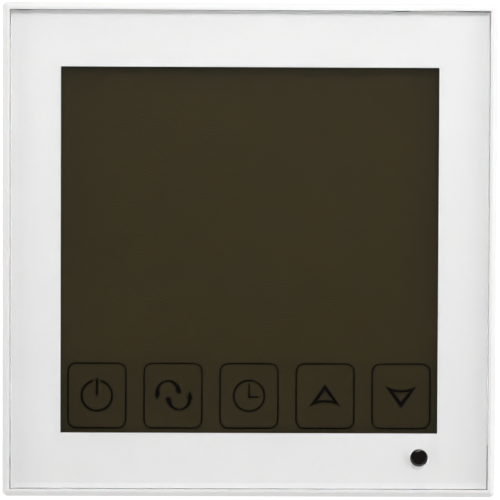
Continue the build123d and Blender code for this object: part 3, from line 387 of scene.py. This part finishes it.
def metal(name, colour, roughness, line_size=0.15, stretch=(1, 1, 1), depth=0.002):
    """Metal with drawn or ground lines of a size in millimetres, long along the least stretched axis."""
    material, shader = finish(name, colour, roughness, 1.0)
    lines = grain(material, line_size, 3.0, stretch)
    dull = tuple(0.82 * part for part in colour)
    join(material, two_tone(material, grain(material, 3.0, 4.0), colour, dull), shader, "Base Color")
    dulled = spread(material, lines, roughness * 0.75, min(1.0, roughness * 1.35))
    join(material, dulled, shader, "Roughness")
    relief(material, shader, lines, depth)
    return material


tinned_steel = metal("tinned_steel", (0.72, 0.71, 0.68), 0.32, 0.08, (1, 0.1, 1))
paint(tinned_steel, "lcd_pins")


# ---------------------------------------------------------------- display holder and backlight
# A white moulded tray on the main board. In it lie a diffusing film, a clear acrylic guide with printed
# dots, a reflecting film, and four side-view lamps along the left wall.
def moulded(name, colour, roughness, texture=0.12, depth=0.006, mottle=0.06):
    """Moulded plastic with a spark-eroded texture of a size and depth in millimetres."""
    material, shader = finish(name, colour, roughness)
    eroded = grain(material, texture, 4.0)
    rounded = lay(material, "Bevel", {"Radius": 0.10 * MM}, samples=4)
    dark = tuple(part * (1 - mottle) for part in colour)
    join(material, two_tone(material, grain(material, 12.0, 3.0), colour, dark), shader, "Base Color")
    dulled = spread(material, eroded, roughness * 0.85, min(1.0, roughness * 1.15))
    join(material, dulled, shader, "Roughness")
    relief(material, shader, eroded, depth, rounded)
    return material


holder_white = moulded("holder_white", (0.80, 0.80, 0.78), 0.5)
paint(holder_white, "lcd_holder")

diffuser, shader = finish("backlight_film_white", (0.88, 0.88, 0.88), 0.55)
shader.inputs["Sheen Weight"].default_value = 0.2
milky = two_tone(diffuser, grain(diffuser, 15.0), (0.89, 0.89, 0.89), (0.84, 0.84, 0.85))
join(diffuser, milky, shader, "Base Color")
join(diffuser, spread(diffuser, grain(diffuser, 0.1), 0.45, 0.7), shader, "Roughness")
relief(diffuser, shader, grain(diffuser, 0.08), 0.002)
paint(diffuser, "backlight_films")

acrylic, shader = finish("light_guide_acrylic", (0.93, 0.95, 0.95), 0.05)
shader.inputs["IOR"].default_value = 1.49
shader.inputs["Transmission Weight"].default_value = 0.75
dot_pitch = 0.9 * MM
dots = {"Vector": place_on(acrylic), "Scale": 1 / dot_pitch, "Randomness": 0.0}
dots = lay(acrylic, "TexVoronoi", dots, "Distance")
join(acrylic, spread(acrylic, dots, 0.6, 0.04, 0.24, 0.30), shader, "Roughness")
relief(acrylic, shader, spread(acrylic, dots, 1, 0, 0.24, 0.30), 0.01)
paint(acrylic, "light_guide")


def corners(node):
    """The lowest and the highest corner of a node's box, in millimetres."""
    return tuple(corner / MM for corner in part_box(node))


def within(material, low, high):
    """1 inside the box between two corners in millimetres, and 0 outside it."""
    middle = [(a + b) / 2 * MM for a, b in zip(low, high)]
    reach = [abs(b - a) / 2 * MM for a, b in zip(low, high)]
    point = lay(material, "TexCoord", {}, "Object")
    away = lay(material, "VectorMath", {0: point, 1: middle}, operation="SUBTRACT")
    away = lay(material, "VectorMath", {0: away}, operation="ABSOLUTE")
    away = lay(material, "VectorMath", {0: away, 1: reach}, operation="SUBTRACT")
    x, y, z = (lay(material, "SeparateXYZ", {0: away}, axis) for axis in "XYZ")
    furthest = lay(material, "Math", {0: x, 1: y}, operation="MAXIMUM")
    furthest = lay(material, "Math", {0: furthest, 1: z}, operation="MAXIMUM")
    return lay(material, "Math", {0: furthest, 1: 0.0}, operation="LESS_THAN")


def either(material, first, *others):
    """1 where any of several zones is 1."""
    for other in others:
        first = lay(material, "Math", {0: first, 1: other}, operation="MAXIMUM")
    return first


lamps_low, lamps_high = corners("backlight_leds")
lamp_body, shader = finish("side_lamp_white", (0.86, 0.86, 0.82), 0.4)
window_low = (lamps_high.x - 0.05, lamps_low.y + 0.3, -90)
window_high = (lamps_high.x + 1, lamps_high.y - 1.7, 90)
window = within(lamp_body, window_low, window_high)
phosphor = two_tone(lamp_body, grain(lamp_body, 0.1), (0.80, 0.62, 0.08), (0.88, 0.72, 0.16))
join(lamp_body, two_tone(lamp_body, window, (0.86, 0.86, 0.82), phosphor), shader, "Base Color")
join(lamp_body, spread(lamp_body, grain(lamp_body, 0.2), 0.35, 0.5), shader, "Roughness")
relief(lamp_body, shader, grain(lamp_body, 0.15), 0.003)
paint(lamp_body, "backlight_leds")


# ---------------------------------------------------------------- main board
# Glass-fibre laminate with green solder mask over etched copper tracks, and bare tan edges where it was
# routed. Four screws hold it on the bezel's side posts. The power board further back is made in the same
# way.
def circuit_board(name, track_pitch):
    """Green mask with slightly raised tracks on both faces, tinned pads, and tan laminate at the edges."""
    material, shader = finish(name, (0.02, 0.16, 0.07), 0.3)
    x, y, z = (lay(material, "SeparateXYZ", {0: place_on(material)}, axis) for axis in "XYZ")
    flat = lay(material, "CombineXYZ", {0: x, 1: z})
    rows = lay(material, "TexBrick", {"Vector": flat, "Scale": 1 / (track_pitch * MM), "Mortar Size": 0.13,
                                      "Mortar Smooth": 0.1, "Brick Width": 4.0, "Row Height": 0.9}, "Fac")
    broken = spread(material, grain(material, 7.0, 0.0), 0, 1, 0.46, 0.50)
    tracks = lay(material, "Math", {0: rows, 1: broken}, operation="MULTIPLY")
    pad_pitch = 3.4 * MM
    pads = {"Vector": flat, "Scale": 1 / pad_pitch, "Randomness": 0.55}
    pads = lay(material, "TexVoronoi", pads, "Distance")
    pads = spread(material, pads, 1, 0, 0.12, 0.13)
    normal = lay(material, "TexCoord", {}, "Normal")
    across = lay(material, "SeparateXYZ", {0: normal}, "Y")
    on_face = lay(material, "Math", {0: across}, operation="ABSOLUTE")
    on_face = spread(material, on_face, 0, 1, 0.6, 0.7)
    mask = two_tone(material, tracks, (0.012, 0.12, 0.05), (0.03, 0.24, 0.09))
    mask = two_tone(material, pads, mask, (0.66, 0.66, 0.62))
    plies = grain(material, 0.25, 2.0, (1, 4, 1))
    weave = two_tone(material, plies, (0.42, 0.33, 0.16), (0.56, 0.46, 0.25))
    join(material, two_tone(material, on_face, weave, mask), shader, "Base Color")
    metallic = lay(material, "Math", {0: pads, 1: on_face}, operation="MULTIPLY")
    join(material, metallic, shader, "Metallic")
    join(material, spread(material, on_face, 0.85, 0.28, 0, 1), shader, "Roughness")
    relief(material, shader, either(material, tracks, pads), 0.03)
    return material


paint(circuit_board("main_board_green", 1.1), "main_board")
zinc = metal("zinc_plated_steel", (0.70, 0.71, 0.72), 0.34, 0.2)
paint(zinc, "board_screws")


# ---------------------------------------------------------------- chips and small parts of the main board
# Moulded epoxy chips with tinned leads, rows of chip resistors and capacitors, a clock crystal, and the
# socket that takes the touch film's tail. They are soldered to the back of the board, and the socket to
# its front.
def epoxy_with_leads(name, bodies):
    """Black moulded epoxy inside the boxes that are given in millimetres, and tinned leads outside them."""
    material, shader = finish(name, (0.02, 0.02, 0.022), 0.55)
    epoxy = either(material, *[within(material, low, high) for low, high in bodies])
    black = two_tone(material, grain(material, 0.12, 4.0), (0.014, 0.014, 0.016), (0.034, 0.034, 0.036))
    join(material, two_tone(material, epoxy, (0.70, 0.69, 0.66), black), shader, "Base Color")
    join(material, spread(material, epoxy, 1, 0, 0, 1), shader, "Metallic")
    join(material, spread(material, grain(material, 0.1), 0.4, 0.7), shader, "Roughness")
    relief(material, shader, grain(material, 0.08, 4.0), 0.004)
    return material


back_of_board = corners("main_board")[1].y
chips = [((x - w / 2, back_of_board + 0.05, z - h / 2), (x + w / 2, back_of_board + 3, z + h / 2))
         for x, z, w, h in ((-10.0, 2.5, 7.02, 7.02), (8.0, 5.0, 9.92, 3.92), (-1.0, -13.5, 4.92, 3.92))]
paint(epoxy_with_leads("control_chip_epoxy", chips), "control_chips")

chip_parts, shader = finish("chip_parts", (0.45, 0.38, 0.30), 0.45)
part_pitch = 4.5 * MM
along = lay(chip_parts, "SeparateXYZ", {0: place_on(chip_parts)}, "X")
along = lay(chip_parts, "Math", {0: along, 1: part_pitch / 2}, operation="PINGPONG")
ends = spread(chip_parts, along, 0, 1, 0.64 * MM, 0.66 * MM)
capacitor_row = within(chip_parts, (-25, -5, 9.3), (25, 0, 10.7))
rows = either(chip_parts, within(chip_parts, (-25, -5, -20.1), (25, 0, -18.7)), capacitor_row)
tops = two_tone(chip_parts, capacitor_row, (0.02, 0.02, 0.022), (0.42, 0.30, 0.17))
tinned = lay(chip_parts, "Math", {0: ends, 1: rows}, operation="MULTIPLY")
socket_cream = two_tone(chip_parts, grain(chip_parts, 0.5), (0.72, 0.67, 0.52), (0.66, 0.61, 0.47))
crystal_can = within(chip_parts, (-2, -5, -5.6), (2, 0, -3.9))
coloured = two_tone(chip_parts, rows, socket_cream, two_tone(chip_parts, ends, tops, (0.70, 0.69, 0.66)))
coloured = two_tone(chip_parts, crystal_can, coloured, (0.70, 0.68, 0.62))
join(chip_parts, coloured, shader, "Base Color")
join(chip_parts, either(chip_parts, tinned, crystal_can), shader, "Metallic")
join(chip_parts, spread(chip_parts, grain(chip_parts, 0.15), 0.35, 0.55), shader, "Roughness")
relief(chip_parts, shader, grain(chip_parts, 0.1), 0.003)
paint(chip_parts, "small_components")

# ------------------------------------------------------------ buzzer, clock cell, receiver and room sensor
# A piezo buzzer in a black case, a nickel-plated coin cell with its welded tabs, the remote-control
# receiver behind its lens, and a thermistor bead on tinned wires in the air stream of the lower slots.
buzzer_black = moulded("buzzer_black", (0.025, 0.025, 0.027), 0.45, 0.2)
paint(buzzer_black, "buzzer")

nickel, shader = finish("cell_nickel", (0.72, 0.70, 0.66), 0.25, 1.0)
cell_high = corners("coin_cell")[1]
gasket = within(nickel, (-50, cell_high.y - 0.95, -50), (50, cell_high.y - 0.7, 50))
polished = two_tone(nickel, grain(nickel, 4.0), (0.74, 0.72, 0.68), (0.64, 0.62, 0.58))
join(nickel, two_tone(nickel, gasket, polished, (0.03, 0.03, 0.03)), shader, "Base Color")
join(nickel, spread(nickel, gasket, 1, 0, 0, 1), shader, "Metallic")
join(nickel, spread(nickel, grain(nickel, 0.15, 3.0, (1, 1, 0.1)), 0.16, 0.36), shader, "Roughness")
relief(nickel, shader, grain(nickel, 0.15, 3.0, (1, 1, 0.1)), 0.001)
paint(nickel, "coin_cell")

receiver_epoxy = moulded("receiver_epoxy", (0.02, 0.012, 0.012), 0.3, 0.3, 0.002)
paint(receiver_epoxy, "ir_receiver")

bead, shader = finish("sensor_bead", (0.03, 0.03, 0.03), 0.35)
bead_low, bead_high = corners("temperature_sensor")
wires_low = (bead_low.x, bead_high.y - 1.95, bead_low.z)
wires = within(bead, wires_low, (bead_high.x, bead_high.y + 1, bead_high.z))
epoxy = two_tone(bead, grain(bead, 0.5), (0.025, 0.024, 0.022), (0.05, 0.045, 0.04))
join(bead, two_tone(bead, wires, epoxy, (0.72, 0.71, 0.68)), shader, "Base Color")
join(bead, wires, shader, "Metallic")
join(bead, spread(bead, grain(bead, 0.3), 0.25, 0.45), shader, "Roughness")
relief(bead, shader, grain(bead, 0.6), 0.01)
paint(bead, "temperature_sensor")

# ---------------------------------------------------------------- header
# Eight square pins, gold-flashed, through a black moulded body. They are soldered into the main board
# and reach through the back cover into the socket of the power unit.
connector_black = moulded("connector_black", (0.022, 0.022, 0.024), 0.5, 0.15, 0.004)
paint(connector_black, "board_header")
gold = metal("gold_flash", (0.83, 0.60, 0.24), 0.25, 0.1, (1, 0.1, 1), 0.001)
paint(gold, "header_pins")

# ---------------------------------------------------------------- back cover
# Moulded in satin white polycarbonate with a spark-eroded outside, and held by four countersunk screws.
# Its middle dips into the power unit's box.
satin_white = moulded("satin_white", (0.80, 0.80, 0.78), 0.42, 0.22, 0.008, 0.04)
paint(satin_white, "back_cover")
paint(zinc, "cover_screws")

# ---------------------------------------------------------------- mounting plate and springs
# Blanked from 1.2 mm zinc-coated strip, with four bent tabs and slots for the wall box's screws. Its
# rolled face has faint lines and cloudy spangle. Four stainless leaf springs are riveted to it and bite
# behind the bezel.
plate_steel, shader = finish("plate_zinc", (0.66, 0.67, 0.68), 0.4, 1.0)
rolled = grain(plate_steel, 0.18, 4.0, (0.04, 1, 1))
spangle_size = 5.5 * MM
spangle = {"Vector": place_on(plate_steel), "Scale": 1 / spangle_size}
spangle = lay(plate_steel, "TexVoronoi", spangle, "Color")
spangle = lay(plate_steel, "SeparateXYZ", {0: spangle}, "X")
cloudy = two_tone(plate_steel, spangle, (0.58, 0.59, 0.61), (0.72, 0.73, 0.74))
stains = spread(plate_steel, grain(plate_steel, 9.0, 5.0), 0, 0.35, 0.52, 0.75)
join(plate_steel, two_tone(plate_steel, stains, cloudy, (0.50, 0.50, 0.50)), shader, "Base Color")
scuffed = lay(plate_steel, "Math", {0: spread(plate_steel, rolled, -0.08, 0.10),
                                    1: spread(plate_steel, spangle, 0.30, 0.44, 0, 1)}, operation="ADD")
join(plate_steel, scuffed, shader, "Roughness")
rounded = lay(plate_steel, "Bevel", {"Radius": 0.08 * MM}, samples=4)
relief(plate_steel, shader, rolled, 0.002, rounded)
paint(plate_steel, "mounting_plate")

spring_strip = metal("spring_strip", (0.60, 0.59, 0.57), 0.22, 0.06, (1, 0.05, 0.05), 0.001)
paint(spring_strip, "retaining_springs")

# ---------------------------------------------------------------- rear box
# A tub of the same satin white polycarbonate, open towards the user, with cooling slots and an open bay
# for the terminals. Four zinc-plated screws through the plate's tabs hold it.
paint(satin_white, "rear_box")
paint(zinc, "box_screws")

# ---------------------------------------------------------------- insulating cover
# Black moulded lid between the mains parts and the user's side, with an aperture for the socket.
# It has a coarse matt texture and four legs that stand on the power board.
lid_black = moulded("lid_black", (0.018, 0.018, 0.019), 0.6, 0.35, 0.015, 0.15)
paint(lid_black, "insulating_cover")

# ---------------------------------------------------------------- power board and socket
# The board carries the relay, the terminals and the supply. A black eight-way socket stands up to meet the
# controller's pins.
paint(circuit_board("power_board_green", 2.2), "power_board")
paint(connector_black, "board_socket")

# ---------------------------------------------------------------- terminals
# A green polyamide housing with six ports. In each a tinned brass cage rides on a captive zinc-plated
# screw and draws the wire up against a fixed bar.
terminal_green, shader = finish("terminal_green", (0.03, 0.22, 0.09), 0.45)
fibres = grain(terminal_green, 0.30, 4.0, (1, 0.25, 1))
polyamide = two_tone(terminal_green, fibres, (0.024, 0.19, 0.075), (0.045, 0.27, 0.12))
join(terminal_green, polyamide, shader, "Base Color")
join(terminal_green, spread(terminal_green, fibres, 0.36, 0.56), shader, "Roughness")
rounded = lay(terminal_green, "Bevel", {"Radius": 0.15 * MM}, samples=4)
relief(terminal_green, shader, fibres, 0.006, rounded)
paint(terminal_green, "terminal_housing")

tinned_brass = metal("tinned_brass", (0.74, 0.71, 0.64), 0.30, 0.12, (1, 1, 0.1))
terminals = range(1, 7)
paint(tinned_brass, "contact_bars", *[f"clamp_cage_{n}" for n in terminals])
paint(zinc, *[f"clamp_screw_{n}" for n in terminals])


# ---------------------------------------------------------------- relay
# Under a blue case: a bobbin wound with enamelled copper, a nickel-plated iron yoke and hinged armature,
# and silver-faced contacts on brass strip. The wire lies in close turns along the bobbin, and each turn's
# colour carries painted shade between the turns and a painted highlight along its crest.
case_blue = moulded("relay_case_blue", (0.02, 0.07, 0.30), 0.35, 0.18, 0.005, 0.10)
paint(case_blue, "relay_case")
paint(connector_black, "relay_base")

coil_low, coil_high = corners("relay_coil")


def wound_bobbin(name, wire, flanges, wire_size, low, high):
    """Close turns of wire round the Y axis inside a box in millimetres, coloured with painted shade between
    the turns and a painted highlight along each, and moulded flanges outside it.
    """
    material, shader = finish(name, wire, 0.3)
    close = math.tau / (20 * wire_size * MM)
    turns = lay(material, "TexWave", {"Vector": place_on(material), "Scale": close}, bands_direction="Y")
    winding = within(material, low, high)
    # Each turn's colour runs from painted shade between the turns to a painted highlight along its crest.
    turn_highlight = tuple(min(1.0, 1.3 * part) for part in wire)
    copper = two_tone(material, turns, tuple(0.45 * part for part in wire), turn_highlight)
    join(material, two_tone(material, winding, flanges, copper), shader, "Base Color")
    join(material, spread(material, winding, 0, 0.85, 0, 1), shader, "Metallic")
    join(material, spread(material, grain(material, 0.3), 0.25, 0.5), shader, "Roughness")
    heights = lay(material, "Math", {0: turns, 1: winding}, operation="MULTIPLY")
    relief(material, shader, heights, 0.08)
    return material


flange = 0.85
winding_low = (coil_low.x, coil_low.y + flange, coil_low.z)
winding_high = (coil_high.x, coil_high.y - flange, coil_high.z)
copper, flange_white = (0.62, 0.24, 0.10), (0.75, 0.74, 0.70)
coil_copper = wound_bobbin("coil_copper", copper, flange_white, 0.16, winding_low, winding_high)
paint(coil_copper, "relay_coil")

nickel_iron = metal("nickel_plated_iron", (0.62, 0.61, 0.58), 0.35, 0.2)
paint(nickel_iron, "relay_yoke", "relay_armature")

contact_strip, shader = finish("contact_strip", (0.76, 0.56, 0.27), 0.3, 1.0)
strip_low, strip_high = corners("relay_contacts")
blade = 0.45
buttons_low = (strip_low.x + blade, strip_low.y, strip_low.z)
buttons = within(contact_strip, buttons_low, (strip_high.x - blade, strip_high.y, strip_high.z))
brass = two_tone(contact_strip, grain(contact_strip, 1.2), (0.78, 0.58, 0.28), (0.66, 0.47, 0.22))
join(contact_strip, two_tone(contact_strip, buttons, brass, (0.90, 0.89, 0.87)), shader, "Base Color")
rolled = grain(contact_strip, 0.1, 3.0, (1, 0.1, 1))
join(contact_strip, spread(contact_strip, rolled, 0.2, 0.4), shader, "Roughness")
relief(contact_strip, shader, rolled, 0.002)
paint(contact_strip, "relay_contacts")


# ---------------------------------------------------------------- mains supply
# A ferrite transformer whose winding is wrapped in yellow tape on a black bobbin, a boxed safety
# capacitor, two sleeved electrolytic cans, a dipped varistor with a square fuse, and two moulded power
# chips.
ferrite, shader = finish("transformer_ferrite", (0.05, 0.05, 0.052), 0.55)
core_low, core_high = corners("transformer")
middle_x, middle_z = (core_low.x + core_high.x) / 2, (core_low.z + core_high.z) / 2
tape_x, tape_z = 4.25, 5.45
tape_low = (middle_x - tape_x, core_low.y + 3.7, middle_z - tape_z)
taped = within(ferrite, tape_low, (middle_x + tape_x, core_low.y + 9.65, middle_z + tape_z))
bobbin_low = (core_low.x, core_low.y - 0.1, core_low.z)
bobbin = within(ferrite, bobbin_low, (core_high.x, core_low.y + 1.0, core_high.z))
overlaps = lay(ferrite, "TexWave", {"Vector": place_on(ferrite), "Scale": 80.0}, bands_direction="Y")
tape = two_tone(ferrite, overlaps, (0.72, 0.52, 0.05), (0.84, 0.66, 0.12))
sintered = two_tone(ferrite, grain(ferrite, 0.2, 4.0), (0.035, 0.035, 0.037), (0.075, 0.073, 0.070))
sintered = two_tone(ferrite, bobbin, sintered, (0.015, 0.015, 0.016))
join(ferrite, two_tone(ferrite, taped, sintered, tape), shader, "Base Color")
join(ferrite, spread(ferrite, grain(ferrite, 0.25), 0.4, 0.7), shader, "Roughness")
relief(ferrite, shader, grain(ferrite, 0.2, 4.0), 0.008)
paint(ferrite, "transformer")

box_yellow, shader = finish("capacitor_yellow", (0.80, 0.55, 0.06), 0.35)
can_low, can_high = corners("safety_capacitor")
can_wall = 0.7
potting_low = (can_low.x + can_wall, can_low.y - 1, can_low.z + can_wall)
potting = within(box_yellow, potting_low, (can_high.x - can_wall, can_low.y + 0.1, can_high.z - can_wall))
shell = two_tone(box_yellow, grain(box_yellow, 6.0), (0.80, 0.55, 0.06), (0.74, 0.49, 0.05))
join(box_yellow, two_tone(box_yellow, potting, shell, (0.55, 0.42, 0.12)), shader, "Base Color")
join(box_yellow, spread(box_yellow, grain(box_yellow, 0.2), 0.3, 0.45), shader, "Roughness")
relief(box_yellow, shader, grain(box_yellow, 0.15), 0.004)
paint(box_yellow, "safety_capacitor")

sleeve, shader = finish("capacitor_sleeve", (0.02, 0.025, 0.06), 0.3)
foot = corners("bulk_capacitors")[0].y
tall = within(sleeve, (-5.7, foot + 12.8, 0.1), (0.5, foot + 13.2, 6.3))
short = within(sleeve, (12.2, foot + 9.2, 1.6), (17.0, foot + 9.6, 6.4))
stripe = either(sleeve, within(sleeve, (-7, foot, 2.2), (-5.6, foot + 12.5, 4.2)),
                within(sleeve, (16.8, foot, 3.0), (19, foot + 9, 5.0)))
tops = either(sleeve, tall, short)
film_blue = two_tone(sleeve, grain(sleeve, 5.0), (0.018, 0.022, 0.055), (0.028, 0.033, 0.075))
film_blue = two_tone(sleeve, stripe, film_blue, (0.55, 0.57, 0.62))
join(sleeve, two_tone(sleeve, tops, film_blue, (0.78, 0.78, 0.78)), shader, "Base Color")
join(sleeve, tops, shader, "Metallic")
join(sleeve, spread(sleeve, grain(sleeve, 0.5), 0.25, 0.4), shader, "Roughness")
relief(sleeve, shader, grain(sleeve, 0.7), 0.004)
paint(sleeve, "bulk_capacitors")

dipped, shader = finish("dipped_resin", (0.03, 0.09, 0.32), 0.3)
disc_low, disc_high = corners("surge_parts")
fuse_low = (disc_low.x - 1, disc_low.y - 1, disc_low.z - 0.1)
fuse = within(dipped, fuse_low, (disc_low.x + 8.6, disc_high.y, disc_low.z + 4.1))
leads = either(dipped, within(dipped, (6.0, disc_low.y - 1, 0.4), (6.8, disc_low.y + 1.6, 1.2)),
               within(dipped, (6.0, disc_low.y - 1, 4.8), (6.8, disc_low.y + 1.6, 5.6)))
resin = two_tone(dipped, grain(dipped, 2.0), (0.028, 0.085, 0.30), (0.04, 0.12, 0.38))
fuse_brown = two_tone(dipped, grain(dipped, 3.0), (0.11, 0.045, 0.025), (0.14, 0.06, 0.03))
resin = two_tone(dipped, fuse, resin, fuse_brown)
join(dipped, two_tone(dipped, leads, resin, (0.72, 0.71, 0.68)), shader, "Base Color")
join(dipped, leads, shader, "Metallic")
join(dipped, spread(dipped, grain(dipped, 0.5), 0.2, 0.4), shader, "Roughness")
relief(dipped, shader, grain(dipped, 1.2), 0.03)
paint(dipped, "surge_parts")

chip_low, chip_high = corners("power_chips")
power_bodies = [((-4.82, chip_low.y + 0.25, -8.62), (4.82, chip_high.y + 0.1, -2.18)),
                ((8.98, chip_low.y + 0.25, -8.42), (13.62, chip_high.y + 0.1, -1.98))]
paint(epoxy_with_leads("power_chip_epoxy", power_bodies), "power_chips")
